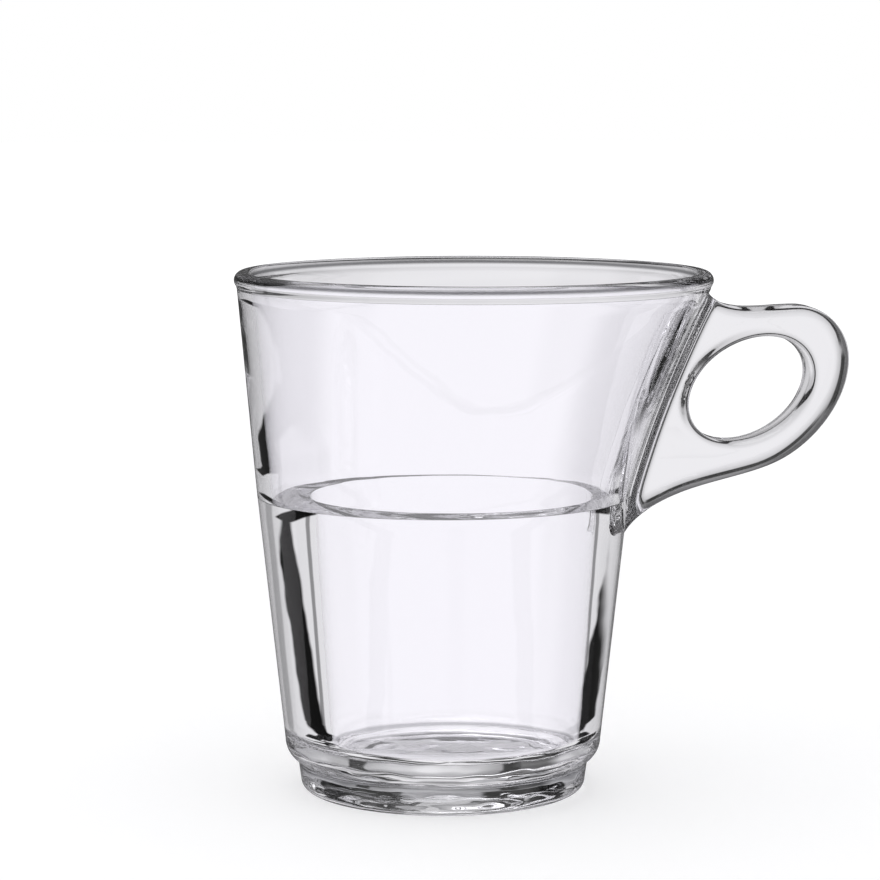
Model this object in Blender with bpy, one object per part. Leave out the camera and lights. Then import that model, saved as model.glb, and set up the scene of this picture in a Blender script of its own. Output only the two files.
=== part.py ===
"""Pressed glass coffee cup: a stepped bowl with an off-centre flared mouth, and a flat pierced handle.

Frame: metres, +Z up, the handle towards +X. The origin is on the table, in the middle of the cup's
overall length and width. The pieces are modelled round the axis of the lower body, which stands behind it.
"""

import math

import bmesh
import bpy
from mathutils import Vector
from mathutils.geometry import interpolate_bezier

MM = 0.001

# Bowl, outside
HEIGHT = 90.0 * MM
MOUTH_RADIUS = 40.6 * MM  # outer wall just under the rolled rim
MOUTH_OFFSET = 5.3 * MM  # how far the mouth's centre stands towards the handle
FLARE_BOW = 0.3  # share of the flare on the handle side that comes in late, near the rim
RIM_ROLL = 1.6 * MM  # radius of the rolled rim
RIM_PROUD = 0.5 * MM  # how far the roll stands out from the wall
LEDGE_HEIGHT = 52.0 * MM
LEDGE_RADIUS = 32.1 * MM
BODY_RADIUS = 27.4 * MM  # outer wall where the rounding under it begins
BODY_ROUND = 4.0 * MM
FOOT_HEIGHT = 5.3 * MM
FOOT_STEP = 2.2 * MM  # how far the foot is set in under the body
FOOT_TAPER = 0.5 * MM
FOOT_ROUND = 1.8 * MM
BEARING_WIDTH = 2.5 * MM  # flat ring that stands on the table
RECESS_DEPTH = 1.8 * MM  # hollow under the foot
RECESS_SLOPE = 5.0 * MM

# Bowl, inside
UPPER_WALL = 2.5 * MM
WELL_OFFSET = 1.5 * MM  # how far the lower inside stands towards the handle
SHELF_WIDTH = 5.2 * MM  # stacking shelf at the ledge
SHELF_ROUND = 1.2 * MM
BASE_WALL = 6.0 * MM  # wall at the bottom of the inside
FLOOR_HEIGHT = 8.3 * MM  # inside floor above the table
FLOOR_ROUND = 3.0 * MM

# Handle
JOIN_GAP = 0.3 * MM  # seam between handle and bowl
HANDLE_DROP = 6.3 * MM  # top edge of the handle below the rim
HANDLE_THICKNESS = 8.5 * MM
EDGE_ROUND = 2.4 * MM
ROOT_SINK = 1.5 * MM  # how deep the root is buried before it is trimmed to the wall
ROOT_MARGIN = 1.2 * MM  # clear of the rounded edges, at both ends of the buried root
ROOT_DROP = 7.3 * MM  # lower end of the root below the ledge
ROOT_LEAD = 8.5 * MM  # how gently the lower edge leaves the hole
ROOT_SWEEP = 10.9 * MM  # how gently the lower edge sweeps into the wall
ROOT_ANGLE = math.radians(230.0)  # heading of the lower edge where it meets the wall
NECK_RISE = 2.6 * MM  # hollow neck between the top edge and the wall
NECK_RUN = 9.0 * MM
NECK_ANGLE = math.radians(-58.0)  # heading of the top edge where it leaves the wall
TOP_SAG = 0.3 * MM  # dip of the top edge behind the neck
HOLE_LENGTH = 22.7 * MM
HOLE_WIDTH = 16.3 * MM
HOLE_TILT = math.radians(31.0)
ROOT_BAR = 4.5 * MM  # glass between the wall and the finger hole
TOP_BAR = 5.3 * MM
END_BAR = 7.1 * MM
LOWER_BAR = 5.6 * MM
LOWER_ANGLE = math.radians(-65.0)  # where round the hole the lower bar is measured
TIP_LENGTH = 9.4 * MM  # rounded end of the handle
TIP_RISE = 4.9 * MM  # furthest point of the handle above the middle of the hole

# Fineness
ROUND_STEPS = 72
WALL_STEPS = 5
ARC_STEPS = 4
RIM_STEPS = 6
EDGE_STEPS = 3
CURVE_STEPS = 9
ROOT_STEPS = 8
HOLE_STEPS = 40
SHARP_ANGLE = math.radians(30.0)
LARGEST_ROUND = 0.48  # an edge is rounded by at most this share of the bar it belongs to
BEZIER_QUARTER = 0.5523  # handle length of a quarter circle

# Sizes that follow from those above
RIM_BASE = HEIGHT - 2 * RIM_ROLL
FOOT_RADIUS = BODY_RADIUS - FOOT_STEP
BODY_BASE = FOOT_HEIGHT + math.sqrt(BODY_ROUND**2 - (BODY_ROUND - FOOT_STEP) ** 2)

GLASS_COLOUR = (0.90, 0.92, 0.93, 1.0)
GLASS_ROUGHNESS = 0.03


def clear_scene():
    for old in list(bpy.data.objects):
        bpy.data.objects.remove(old, do_unlink=True)


def glass(name):
    material = bpy.data.materials.new(name)
    material.use_nodes = True
    shader = material.node_tree.nodes["Principled BSDF"]
    shader.inputs["Base Color"].default_value = GLASS_COLOUR
    shader.inputs["Roughness"].default_value = GLASS_ROUGHNESS
    shader.inputs["Metallic"].default_value = 0.0
    shader.inputs["Transmission Weight"].default_value = 1.0
    return material


def skin(shape, loops):
    """Skin a stack of loops with quads; returns the rows of corners."""
    rows = [[shape.verts.new(point) for point in loop] for loop in loops]
    for row, following in zip(rows, rows[1:]):
        for i in range(len(row)):
            shape.faces.new((row[i - 1], row[i], following[i], following[i - 1]))
    return rows


def turned(rings):
    """A closed shape over a stack of rings, capped at both ends."""
    shape = bmesh.new()
    rows = skin(shape, rings)
    shape.faces.new(rows[0])
    shape.faces.new(rows[-1])
    return shape


def solid(name, shape):
    """One mesh object of a closed shape, smooth except along its sharp edges."""
    bmesh.ops.recalc_face_normals(shape, faces=shape.faces)
    mesh = bpy.data.meshes.new(name)
    shape.to_mesh(mesh)
    shape.free()
    mesh.shade_smooth()
    mesh.set_sharp_from_angle(angle=SHARP_ANGLE)
    piece = bpy.data.objects.new(name, mesh)
    bpy.context.collection.objects.link(piece)
    return piece


def arc(radius_at, height_at, size, start, end, steps=ARC_STEPS):
    """Points (radius, height) along an arc of the turned profile; the angles are in degrees."""
    points = []
    for k in range(steps + 1):
        angle = math.radians(start + (end - start) * k / steps)
        points.append((radius_at + size * math.cos(angle), height_at + size * math.sin(angle)))
    return points


def wall_section(height):
    """Centre, towards the handle, and radius of the outer wall at a height."""
    if height <= LEDGE_HEIGHT:
        share = (height - BODY_BASE) / (LEDGE_HEIGHT - BODY_BASE)
        return 0.0, BODY_RADIUS + (LEDGE_RADIUS - BODY_RADIUS) * share
    share = (height - LEDGE_HEIGHT) / (RIM_BASE - LEDGE_HEIGHT)
    bowed = share * (1 - FLARE_BOW) + share**2 * FLARE_BOW
    near = LEDGE_RADIUS + (MOUTH_RADIUS - MOUTH_OFFSET - LEDGE_RADIUS) * share
    far = LEDGE_RADIUS + (MOUTH_RADIUS + MOUTH_OFFSET - LEDGE_RADIUS) * bowed
    return (far - near) / 2, (far + near) / 2


def wall_reach(height):
    """How far out the wall stands on the handle side."""
    centre, radius = wall_section(height)
    return centre + radius


def ring(centre, radius, height):
    turns = [2 * math.pi * k / ROUND_STEPS for k in range(ROUND_STEPS)]
    return [Vector((centre + radius * math.cos(t), radius * math.sin(t), height)) for t in turns]


def upper_heights():
    return [LEDGE_HEIGHT + (RIM_BASE - LEDGE_HEIGHT) * k / WALL_STEPS for k in range(1, WALL_STEPS + 1)]


def foot_profile():
    """The underside and the foot, from the middle of the hollow out to the body's rounding."""
    foot_edge = FOOT_RADIUS - FOOT_TAPER - FOOT_ROUND
    recess = foot_edge - BEARING_WIDTH
    points = [(recess - RECESS_SLOPE, RECESS_DEPTH), (recess, 0.0)]
    points += arc(foot_edge, FOOT_ROUND, FOOT_ROUND, -90, 0)
    points.append((FOOT_RADIUS, FOOT_HEIGHT))
    begin = math.degrees(math.acos((BODY_ROUND - FOOT_STEP) / BODY_ROUND))
    points += arc(BODY_RADIUS - BODY_ROUND, BODY_BASE, BODY_ROUND, -begin, 0)[1:]
    return points


def rim_profile():
    """The rolled rim, from the outer wall over the top to the inner wall."""
    middle = MOUTH_RADIUS + RIM_PROUD - RIM_ROLL
    outer = math.degrees(math.acos((MOUTH_RADIUS - middle) / RIM_ROLL))
    inner = math.degrees(math.acos(max(-1.0, (MOUTH_RADIUS - UPPER_WALL - middle) / RIM_ROLL)))
    height = HEIGHT - RIM_ROLL
    points = arc(middle, height, RIM_ROLL, -outer, 90, RIM_STEPS)
    return points + arc(middle, height, RIM_ROLL, 90, 360 - inner, RIM_STEPS)[1:]


def well_profile():
    """The inside of the thick lower wall and the floor, from the edge of the stacking shelf down."""
    top = LEDGE_RADIUS - UPPER_WALL - SHELF_WIDTH
    bottom = BODY_RADIUS - BASE_WALL
    lean = math.atan2(top - bottom, LEDGE_HEIGHT - FLOOR_HEIGHT)
    points = arc(top + SHELF_ROUND, LEDGE_HEIGHT - SHELF_ROUND, SHELF_ROUND, 90, 180)
    low = FLOOR_HEIGHT + FLOOR_ROUND * (1 - math.sin(lean))
    middle = bottom + (low - FLOOR_HEIGHT) * math.tan(lean) - FLOOR_ROUND * math.cos(lean)
    points += arc(middle, FLOOR_HEIGHT + FLOOR_ROUND, FLOOR_ROUND, -math.degrees(lean), -90)
    return points


def bowl_rings():
    rings = [ring(0.0, radius, height) for radius, height in foot_profile()]
    rings.append(ring(0.0, LEDGE_RADIUS, LEDGE_HEIGHT))
    rings += [ring(*wall_section(height), height) for height in upper_heights()]
    rings += [ring(MOUTH_OFFSET, radius, height) for radius, height in rim_profile()]
    for height in reversed(upper_heights()):
        centre, radius = wall_section(height)
        rings.append(ring(centre, radius - UPPER_WALL, height))
    rings.append(ring(0.0, LEDGE_RADIUS - UPPER_WALL, LEDGE_HEIGHT))
    rings += [ring(WELL_OFFSET, radius, height) for radius, height in well_profile()]
    return rings


def seat_rings():
    """A plug of the bowl's outer shape, larger by the seam, that trims the handle's root."""
    rings = [ring(0.0, BODY_RADIUS + JOIN_GAP, BODY_BASE), ring(0.0, LEDGE_RADIUS + JOIN_GAP, LEDGE_HEIGHT)]
    for height in upper_heights():
        centre, radius = wall_section(height)
        rings.append(ring(centre, radius + JOIN_GAP, height))
    outside = [(radius, height) for radius, height in rim_profile() if radius >= MOUTH_RADIUS]
    rings += [ring(MOUTH_OFFSET, radius + JOIN_GAP, height) for radius, height in outside]
    rings.append(ring(MOUTH_OFFSET, MOUTH_RADIUS, HEIGHT + RIM_ROLL))
    return rings


def heading(angle):
    return Vector((math.cos(angle), math.sin(angle)))


def hole_support(direction):
    """The hole's edge point whose outward normal has this direction, from the hole's middle."""
    along, across = heading(HOLE_TILT), heading(HOLE_TILT + math.pi / 2)
    long_part = (HOLE_LENGTH / 2) ** 2 * direction.dot(along)
    short_part = (HOLE_WIDTH / 2) ** 2 * direction.dot(across)
    spread = math.sqrt(long_part * direction.dot(along) + short_part * direction.dot(across))
    return (along * long_part + across * short_part) / spread


def hole_middle():
    top = hole_support(Vector((0.0, 1.0))).y
    reach = hole_support(Vector((1.0, 0.0))).x
    height = HEIGHT - HANDLE_DROP - TOP_BAR - top
    return Vector((wall_reach(height) + ROOT_BAR + reach, height))


def handle_tip():
    middle = hole_middle()
    return Vector((middle.x + hole_support(Vector((1.0, 0.0))).x + END_BAR, middle.y + TIP_RISE))


def bezier(start, start_handle, end_handle, end):
    """Points along a curve in the handle's plane, without its last one."""
    return [point.to_2d() for point in interpolate_bezier(start, start_handle, end_handle, end, CURVE_STEPS)][:-1]


def handle_outline():
    """Outer edge of the handle from the neck round the tip to the root, and then the root inside the wall."""
    middle = hole_middle()
    top = HEIGHT - HANDLE_DROP
    neck_height = top + NECK_RISE
    neck = Vector((wall_reach(neck_height), neck_height))
    top_start = Vector((wall_reach(top) + NECK_RUN, top - TOP_SAG))
    tip = handle_tip()
    top_end = Vector((tip.x - TIP_LENGTH, top))
    outward = heading(LOWER_ANGLE)
    low = middle + hole_support(outward) + outward * LOWER_BAR
    onward = Vector((outward.y, -outward.x))
    root_height = LEDGE_HEIGHT - ROOT_DROP
    inward = heading(ROOT_ANGLE)
    root = Vector((wall_reach(root_height), root_height))

    outset = heading(NECK_ANGLE)
    run = Vector((BEZIER_QUARTER * NECK_RUN, 0.0))
    level = Vector(((top_end.x - top_start.x) / 3, 0.0))
    round_off = Vector((BEZIER_QUARTER * TIP_LENGTH, 0.0))
    turn = Vector((0.0, BEZIER_QUARTER * (top - tip.y)))
    bend = (tip - low).length / 3
    edge = [neck - outset * ROOT_SINK]
    edge += bezier(neck, neck + outset * BEZIER_QUARTER * NECK_RISE, top_start - run, top_start)
    edge += bezier(top_start, top_start + level, top_end - level, top_end)
    edge += bezier(top_end, top_end + round_off, tip + turn, tip)
    edge += bezier(tip, tip - Vector((0.0, bend)), low - onward * bend, low)
    edge += bezier(low, low + onward * ROOT_LEAD, root - inward * ROOT_SWEEP, root)
    edge += [root, root + inward * ROOT_SINK]
    lowest = edge[-1].y + EDGE_ROUND + ROOT_MARGIN
    highest = neck.y - EDGE_ROUND - ROOT_MARGIN
    buried = []
    for k in range(ROOT_STEPS + 1):
        height = lowest + (highest - lowest) * k / ROOT_STEPS
        buried.append(Vector((wall_reach(height) - ROOT_SINK, height)))
    return edge, buried


def inset_directions(edge):
    """Unit directions into the handle from its outer edge, turning along the wall where it is buried."""
    directions = []
    for i, point in enumerate(edge):
        before, after = edge[max(i - 1, 0)], edge[min(i + 1, len(edge) - 1)]
        along = (after - before).normalized()
        square = Vector((along.y, -along.x))
        rise = math.copysign(EDGE_ROUND, square.y)
        wall = Vector((wall_reach(point.y + rise) - wall_reach(point.y), rise)).normalized()
        clear = (point.x - wall_reach(point.y) + ROOT_SINK) / (ROOT_SINK + EDGE_ROUND)
        directions.append(wall.lerp(square, min(max(clear, 0.0), 1.0)).normalized())
    return directions


def hole_edge():
    """Points round the finger hole and their directions into the glass."""
    turns = [2 * math.pi * k / HOLE_STEPS for k in range(HOLE_STEPS)]
    outward = [heading(turn) for turn in turns]
    return [hole_middle() + hole_support(direction) for direction in outward], outward


def eased_loops(points, inward):
    """Loops over a rounded edge of the plate, from the front face round to the rear face."""
    narrowest = min(TOP_BAR, END_BAR, LOWER_BAR, ROOT_BAR, HANDLE_THICKNESS)
    rounding = min(EDGE_ROUND, LARGEST_ROUND * narrowest)
    front = []
    for k in range(EDGE_STEPS + 1):
        angle = math.pi / 2 * k / EDGE_STEPS
        inset = rounding * (1 - math.sin(angle))
        depth = HANDLE_THICKNESS / 2 - rounding * (1 - math.cos(angle))
        front.append([(p + n * inset, -depth) for p, n in zip(points, inward)])
    rear = [[(p, -y) for p, y in loop] for loop in reversed(front)]
    return [[Vector((p.x, y, p.y)) for p, y in loop] for loop in front + rear]


def handle_plate():
    """The pierced plate with rounded edges, its root buried in the wall."""
    edge, buried = handle_outline()
    rim = eased_loops(edge + buried, inset_directions(edge) + [Vector((0.0, 0.0))] * len(buried))
    hole = eased_loops(*hole_edge())
    shape = bmesh.new()
    rim_rows = skin(shape, rim)
    hole_rows = skin(shape, hole)
    for end in (0, -1):
        border = []
        for row in (rim_rows[end], hole_rows[end]):
            border += [shape.edges.get((row[i - 1], row[i])) for i in range(len(row))]
        bmesh.ops.triangle_fill(shape, use_beauty=True, edges=border)
    return shape


def make_cup():
    """The empty that carries the pieces: it puts the middle of the overall length at the origin."""
    cup = bpy.data.objects.new("cup", None)
    bpy.context.collection.objects.link(cup)
    rear = MOUTH_OFFSET - MOUTH_RADIUS - RIM_PROUD
    cup.location.x = -(handle_tip().x + rear) / 2
    return cup


def make_bowl(cup):
    bowl = solid("bowl", turned(bowl_rings()))
    bowl.data.materials.append(glass("bowl_glass"))
    bowl.parent = cup


def make_handle(cup):
    seat = solid("handle_seat", turned(seat_rings()))
    seat.parent = cup
    seat.hide_render = True
    seat.display_type = "WIRE"
    handle = solid("handle", handle_plate())
    handle.parent = cup
    handle.data.materials.append(glass("handle_glass"))
    trim = handle.modifiers.new("seat", "BOOLEAN")
    trim.operation = "DIFFERENCE"
    trim.solver = "EXACT"
    trim.object = seat


clear_scene()
cup_frame = make_cup()
make_bowl(cup_frame)
make_handle(cup_frame)
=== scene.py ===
import math

import bmesh
import bpy
from bpy.props import FloatProperty, FloatVectorProperty, IntProperty, PointerProperty
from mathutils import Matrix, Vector
from mathutils.geometry import delaunay_2d_cdt, interpolate_bezier


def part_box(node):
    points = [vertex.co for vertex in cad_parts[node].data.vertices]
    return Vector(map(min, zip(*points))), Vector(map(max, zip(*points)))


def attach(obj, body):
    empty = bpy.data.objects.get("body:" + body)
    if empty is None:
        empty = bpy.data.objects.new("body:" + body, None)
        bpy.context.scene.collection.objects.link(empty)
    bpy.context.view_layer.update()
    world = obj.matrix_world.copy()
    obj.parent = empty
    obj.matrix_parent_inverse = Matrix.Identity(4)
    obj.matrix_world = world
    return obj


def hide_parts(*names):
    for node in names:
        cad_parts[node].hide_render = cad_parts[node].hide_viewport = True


bl_info = {
    "name": "Glass Coffee Cup",
    "version": (1, 0, 0),
    "blender": (4, 5, 0),
    "location": "View3D > Sidebar > Cup",
    "description": "Models a pressed glass coffee cup with a pierced handle, and a plain studio round it",
    "category": "Add Mesh",
}

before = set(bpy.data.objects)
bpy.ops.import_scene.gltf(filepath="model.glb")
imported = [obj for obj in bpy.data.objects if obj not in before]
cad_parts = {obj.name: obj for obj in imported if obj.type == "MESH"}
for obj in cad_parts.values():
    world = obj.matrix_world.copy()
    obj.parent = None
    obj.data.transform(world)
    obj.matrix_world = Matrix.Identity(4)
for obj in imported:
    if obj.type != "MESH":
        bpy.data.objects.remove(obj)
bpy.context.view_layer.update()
BOWL_LOW, BOWL_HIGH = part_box("bowl")
HANDLE_LOW, HANDLE_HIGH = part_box("handle")
BODY = "root"
PICTURE_SIDE = 880
BEZIER_QUARTER = 0.5523
MM = 0.001


def length(name, description, default):
    return FloatProperty(
        name=name, description=description, default=default, unit="LENGTH", subtype="DISTANCE", precision=5
    )


def angle(name, description, degrees):
    return FloatProperty(name=name, description=description, default=math.radians(degrees), subtype="ANGLE")


def share(name, description, default):
    return FloatProperty(
        name=name, description=description, default=default, min=0.0, max=1.0, subtype="FACTOR"
    )


def colour(name, description, default):
    return FloatVectorProperty(
        name=name, description=description, default=default, size=3, min=0.0, max=1.0, subtype="COLOR"
    )


class CupBowlSizes(bpy.types.PropertyGroup):
    """Sizes of the bowl: wall, rim, ledge, well and foot"""

    height: length("Height", "Top of the rim above the table", BOWL_HIGH.z)
    mouth_radius: length("Mouth radius", "Outer wall just under the rolled rim", 40.6 * MM)
    mouth_offset: length("Mouth offset", "How far the mouth stands towards the handle", 5.3 * MM)
    flare_bow: share("Flare bow", "Part of the handle side's flare that comes in near the rim", 0.3)
    rim_roll: length("Rim roll", "Radius of the rolled rim", 1.5 * MM)
    rim_proud: length("Rim proud", "How far the roll stands out from the wall", 0.5 * MM)
    ledge_height: length("Ledge height", "Stacking ledge above the table", 52.0 * MM)
    ledge_radius: length("Ledge radius", "Outer wall at the ledge", 32.1 * MM)
    ledge_ease: length("Ledge ease", "How softly the wall turns at the ledge", 0.9 * MM)
    body_radius: length("Body radius", "Outer wall where its rounding begins", 27.4 * MM)
    body_round: length("Body rounding", "Rounding under the body", 4.0 * MM)
    foot_height: length("Foot height", "Height of the set-in foot", 5.3 * MM)
    foot_step: length("Foot step", "How far the foot is set in under the body", 2.2 * MM)
    foot_taper: length("Foot taper", "How much the foot narrows downwards", 0.5 * MM)
    foot_round: length("Foot rounding", "Rounding of the foot's lower edge", 1.8 * MM)
    step_ease: length("Step ease", "Hollow bevel in the step above the foot", 0.5 * MM)
    bearing_width: length("Bearing width", "Flat ring that stands on the table", 2.5 * MM)
    recess_depth: length("Recess depth", "Hollow under the foot", 1.8 * MM)
    recess_slope: length("Recess slope", "Width of the slope round the hollow", 5.0 * MM)
    crease_ease: length("Crease ease", "Width of the creases of the underside and floor", 0.5 * MM)
    upper_wall: length("Upper wall", "Thickness of the wall above the ledge", 2.5 * MM)
    well_offset: length("Well offset", "How far the lower inside stands towards the handle", 1.5 * MM)
    shelf_width: length("Shelf width", "Stacking shelf inside, at the ledge", 5.2 * MM)
    shelf_sink: length("Shelf sink", "Outer edge of the shelf below the ledge", 0.8 * MM)
    shelf_rise: length("Shelf rise", "How much the shelf rises towards the inside", 0.45 * MM)
    shelf_round: length("Shelf rounding", "Rounding of the shelf's edge", 0.15 * MM)
    shelf_hollow: length("Shelf hollow", "Hollow rounding at the shelf's outer edge", 0.12 * MM)
    base_wall: length("Base wall", "Wall at the bottom of the inside", 6.0 * MM)
    floor_height: length("Floor height", "Inside floor above the table", 8.3 * MM)
    floor_round: length("Floor rounding", "Rounding between the wall and the floor", 3.0 * MM)
    segments: IntProperty(name="Segments", description="Corners round each ring", default=224, min=24)


class CupHandleSizes(bpy.types.PropertyGroup):
    """Sizes of the pierced handle"""

    drop: length("Drop", "Top edge of the handle below the rim", 6.3 * MM)
    thickness: length("Thickness", "Thickness of the plate", HANDLE_HIGH.y - HANDLE_LOW.y)
    edge_round: length("Edge rounding", "Rounding of the plate's edges", 2.4 * MM)
    hole_round: length("Hole rounding", "Rounding of the finger hole's edges", 1.5 * MM)
    fillet: length("Fillet", "Hollow rounding where the plate runs into the wall", 4.0 * MM)
    root_sink: length("Root sink", "How deep the root is buried before it is fused", 1.3 * MM)
    root_drop: length("Root drop", "Lower end of the root below the ledge", 7.3 * MM)
    root_lead: length("Root lead", "How gently the lower edge leaves the hole", 8.5 * MM)
    root_sweep: length("Root sweep", "How gently the lower edge sweeps into the wall", 10.9 * MM)
    root_angle: angle("Root angle", "Heading of the lower edge where it meets the wall", 230.0)
    neck_rise: length("Neck rise", "Height of the hollow neck at the wall", 2.6 * MM)
    neck_run: length("Neck run", "Length of the hollow neck", 9.0 * MM)
    neck_angle: angle("Neck angle", "Heading of the top edge where it leaves the wall", -58.0)
    top_sag: length("Top sag", "Dip of the top edge behind the neck", 0.3 * MM)
    hole_length: length("Hole length", "Finger hole along its tilt", 22.7 * MM)
    hole_width: length("Hole width", "Finger hole across its tilt", 16.3 * MM)
    hole_tilt: angle("Hole tilt", "Tilt of the finger hole", 31.0)
    root_bar: length("Root bar", "Glass between the wall and the hole", 4.5 * MM)
    top_bar: length("Top bar", "Glass above the hole", 5.3 * MM)
    end_bar: length("End bar", "Glass beyond the hole", 7.1 * MM)
    lower_bar: length("Lower bar", "Glass below the hole", 5.6 * MM)
    lower_angle: angle("Lower angle", "Where round the hole the lower bar is measured", -65.0)
    tip_length: length("Tip length", "Rounded end of the handle", 9.4 * MM)
    tip_rise: length("Tip rise", "Furthest point above the middle of the hole", 4.9 * MM)


class CupGlassFinish(bpy.types.PropertyGroup):
    """Colour and finish of the pressed glass"""

    clear: colour("Glass colour", "Tint of the clear glass", (0.976, 0.967, 0.998))
    cool: colour("Cool streaks", "Tint where the glass runs cooler", (0.966, 0.957, 0.993))
    # Foot is painted shade: the foot below its step turns dark grey, a little for thick glass and mostly as
    # painted shade
    foot: colour("Foot colour", "Deeper tint under the step of the foot", (0.3, 0.3, 0.32))
    # Rim is painted shade: a nearly black line along the rolled rim, in place of the dark edge that clear
    # glass shows there
    rim: colour("Rim colour", "Deep tint of the rounded rim", (0.08, 0.08, 0.085))
    ior: FloatProperty(name="IOR", description="Refraction of the glass", default=1.52, min=1.0, max=2.0)
    haze: share("Haze", "Roughness where the glass is least polished", 0.012)
    wave: length("Wave", "Height of the soft waves that pressing leaves", 0.05 * MM)
    wave_size: length("Wave size", "Spacing of the soft waves", 17.0 * MM)
    wedge: length("Wedge", "How much the upper wall thickens towards the rim", 1.0 * MM)
    swell: length("Swell", "How much the wall thickens just above the ledge", 0.17 * MM)
    ripple: length("Ripple", "Height of the ripples round and under the foot", 0.34 * MM)
    shadow: share("Shadow", "Light that a shadow of the glass lets through", 0.86)


class CupStudio(bpy.types.PropertyGroup):
    """Camera, floor and light of the plain studio"""

    eye: FloatVectorProperty(
        name="Camera", description="Place of the camera", default=(-0.0765, -0.5569, 0.1275),
        size=3, unit="LENGTH", subtype="TRANSLATION",
    )
    look: FloatVectorProperty(
        name="View direction", description="Direction of the camera", default=(0.1038, 0.9875, -0.1184),
        size=3, subtype="DIRECTION",
    )
    focal: FloatProperty(name="Focal length", description="Focal length in picture pixels", default=3270.0)
    floor_size: length("Floor size", "Side of the floor", 8.0)
    floor_colour: colour("Floor", "Colour of the pale floor", (0.82, 0.82, 0.83))
    near_lift: share("Near lift", "Light that the floor adds near the cup", 0.24)
    far_lift: share("Far lift", "Light that the floor adds far from the cup", 0.5)
    fill: share("Fill", "Strength of the soft light from all round", 0.7)
    lamp_power: FloatProperty(name="Lamp", description="Power of the soft box", default=4.0, unit="POWER")
    lamp_size: length("Lamp size", "Side of the soft box overhead", 0.9)
    pane_turn: angle("Pane turn", "Middle of the white pane, to the right of the view", 4.5)
    pane_tilt: angle("Pane tilt", "Middle of the white pane above the level", -5.0)
    pane_width: angle("Pane width", "Half the width of the pane, to its dark border", 20.0)
    pane_rise: angle("Pane rise", "Height of the pane over its middle", 23.0)
    pane_fall: angle("Pane fall", "Height of the pane under its middle", 35.0)
    pane_tone: share("Pane tone", "Tone of the pane and of the panels", 0.87)
    left_tone: share("Left tone", "Tone of the room to the left of the pane", 0.13)
    right_tone: share("Right tone", "Tone of the room to the right of the pane", 0.55)
    left_slant: FloatProperty(name="Left slant", description="How much the left flag leans", default=3.8)
    right_slant: FloatProperty(name="Right slant", description="How much the right flag leans", default=5.4)
    right_shift: angle("Right shift", "How much nearer the right flag stands", 13.4)
    flag_half: angle("Flag width", "Half the width of the dark flags", 8.8)
    dark_tone: share("Dark tone", "Tone of the flags and borders", 0.0)
    room_tone: share("Room tone", "Tone of the room that the outside of the glass mirrors", 0.08)


def rim_base(size):
    return size.height - 2 * size.rim_roll


def body_base(size):
    return size.foot_height + math.sqrt(size.body_round**2 - (size.body_round - size.foot_step) ** 2)


def wall_section(size, height):
    """Centre, towards the handle, and radius of the outer wall at a height."""
    base = body_base(size)
    if height <= size.ledge_height:
        part = (height - base) / (size.ledge_height - base)
        return 0.0, size.body_radius + (size.ledge_radius - size.body_radius) * part
    part = (height - size.ledge_height) / (rim_base(size) - size.ledge_height)
    bowed = part * (1 - size.flare_bow) + part**2 * size.flare_bow
    near = size.ledge_radius + (size.mouth_radius - size.mouth_offset - size.ledge_radius) * part
    far = size.ledge_radius + (size.mouth_radius + size.mouth_offset - size.ledge_radius) * bowed
    return (far - near) / 2, (far + near) / 2


def wall_reach(size, height):
    """How far out the wall stands on the handle side."""
    centre, radius = wall_section(size, height)
    return centre + radius


def arc(radius_at, height_at, radius, start, end, steps):
    """Points (radius, height) along an arc of the profile; the angles are in degrees."""
    points = []
    for k in range(steps + 1):
        turn = math.radians(start + (end - start) * k / steps)
        points.append((radius_at + radius * math.cos(turn), height_at + radius * math.sin(turn)))
    return points


def spaced(low, high, steps):
    return [low + (high - low) * k / steps for k in range(steps + 1)]


# Rings in the straight stretches of the bowl
FOOT_STEPS = 4
BODY_STEPS = 14
WALL_STEPS = 18


def foot_stations(size):
    """Underside and foot, from the hollow's flat middle out to the body's rounding."""
    edge = size.body_radius - size.foot_step - size.foot_taper - size.foot_round
    recess = edge - size.bearing_width
    flat = recess - size.recess_slope
    ease = size.crease_ease
    eased_depth = size.recess_depth * 0.985
    points = [(flat / 2, size.recess_depth), (flat - ease, size.recess_depth), (flat, eased_depth)]
    points += [(recess - ease, ease * size.recess_depth / size.recess_slope), (recess, 0.0)]
    points += [(recess + ease, 0.0), (edge - ease, 0.0)]
    points += arc(edge, size.foot_round, size.foot_round, -90, 0, steps=8)
    lean = size.foot_taper / (size.foot_height - size.foot_round)
    for height in spaced(size.foot_round, size.foot_height - size.step_ease, FOOT_STEPS)[1:]:
        points.append((edge + size.foot_round + lean * (height - size.foot_round), height))
    step_degrees = 4.0
    begin = math.degrees(math.acos((size.body_round - size.foot_step) / size.body_round)) - step_degrees
    middle = size.body_radius - size.body_round
    points += arc(middle, body_base(size), size.body_round, -begin, 0, steps=12)
    return [(0.0, radius, height) for radius, height in points]


def wall_stations(size):
    """The outer wall from the body's rounding past the ledge to the rim."""
    ease = size.ledge_ease
    low = spaced(body_base(size), size.ledge_height - ease, BODY_STEPS)[1:]
    high = spaced(size.ledge_height + ease, rim_base(size), WALL_STEPS)
    return [(*wall_section(size, height), height) for height in low + high]


def rim_stations(size):
    """The rolled rim, a little short of the wall at both ends."""
    short_degrees = 6.0
    middle = size.mouth_radius + size.rim_proud - size.rim_roll
    outer = math.degrees(math.acos((size.mouth_radius - middle) / size.rim_roll)) - short_degrees
    across = (size.mouth_radius - size.upper_wall - middle) / size.rim_roll
    inner = math.degrees(math.acos(max(-1.0, across))) + short_degrees
    height = size.height - size.rim_roll
    points = arc(middle, height, size.rim_roll, -outer, 90, steps=9)
    points += arc(middle, height, size.rim_roll, 90, 360 - inner, steps=9)[1:]
    return [(size.mouth_offset, radius, height) for radius, height in points]


def shelf_fall(size):
    """Slope of the shelf, which falls towards the inside where it is above 0."""
    return math.atan2(-size.shelf_rise, size.shelf_width)


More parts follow.
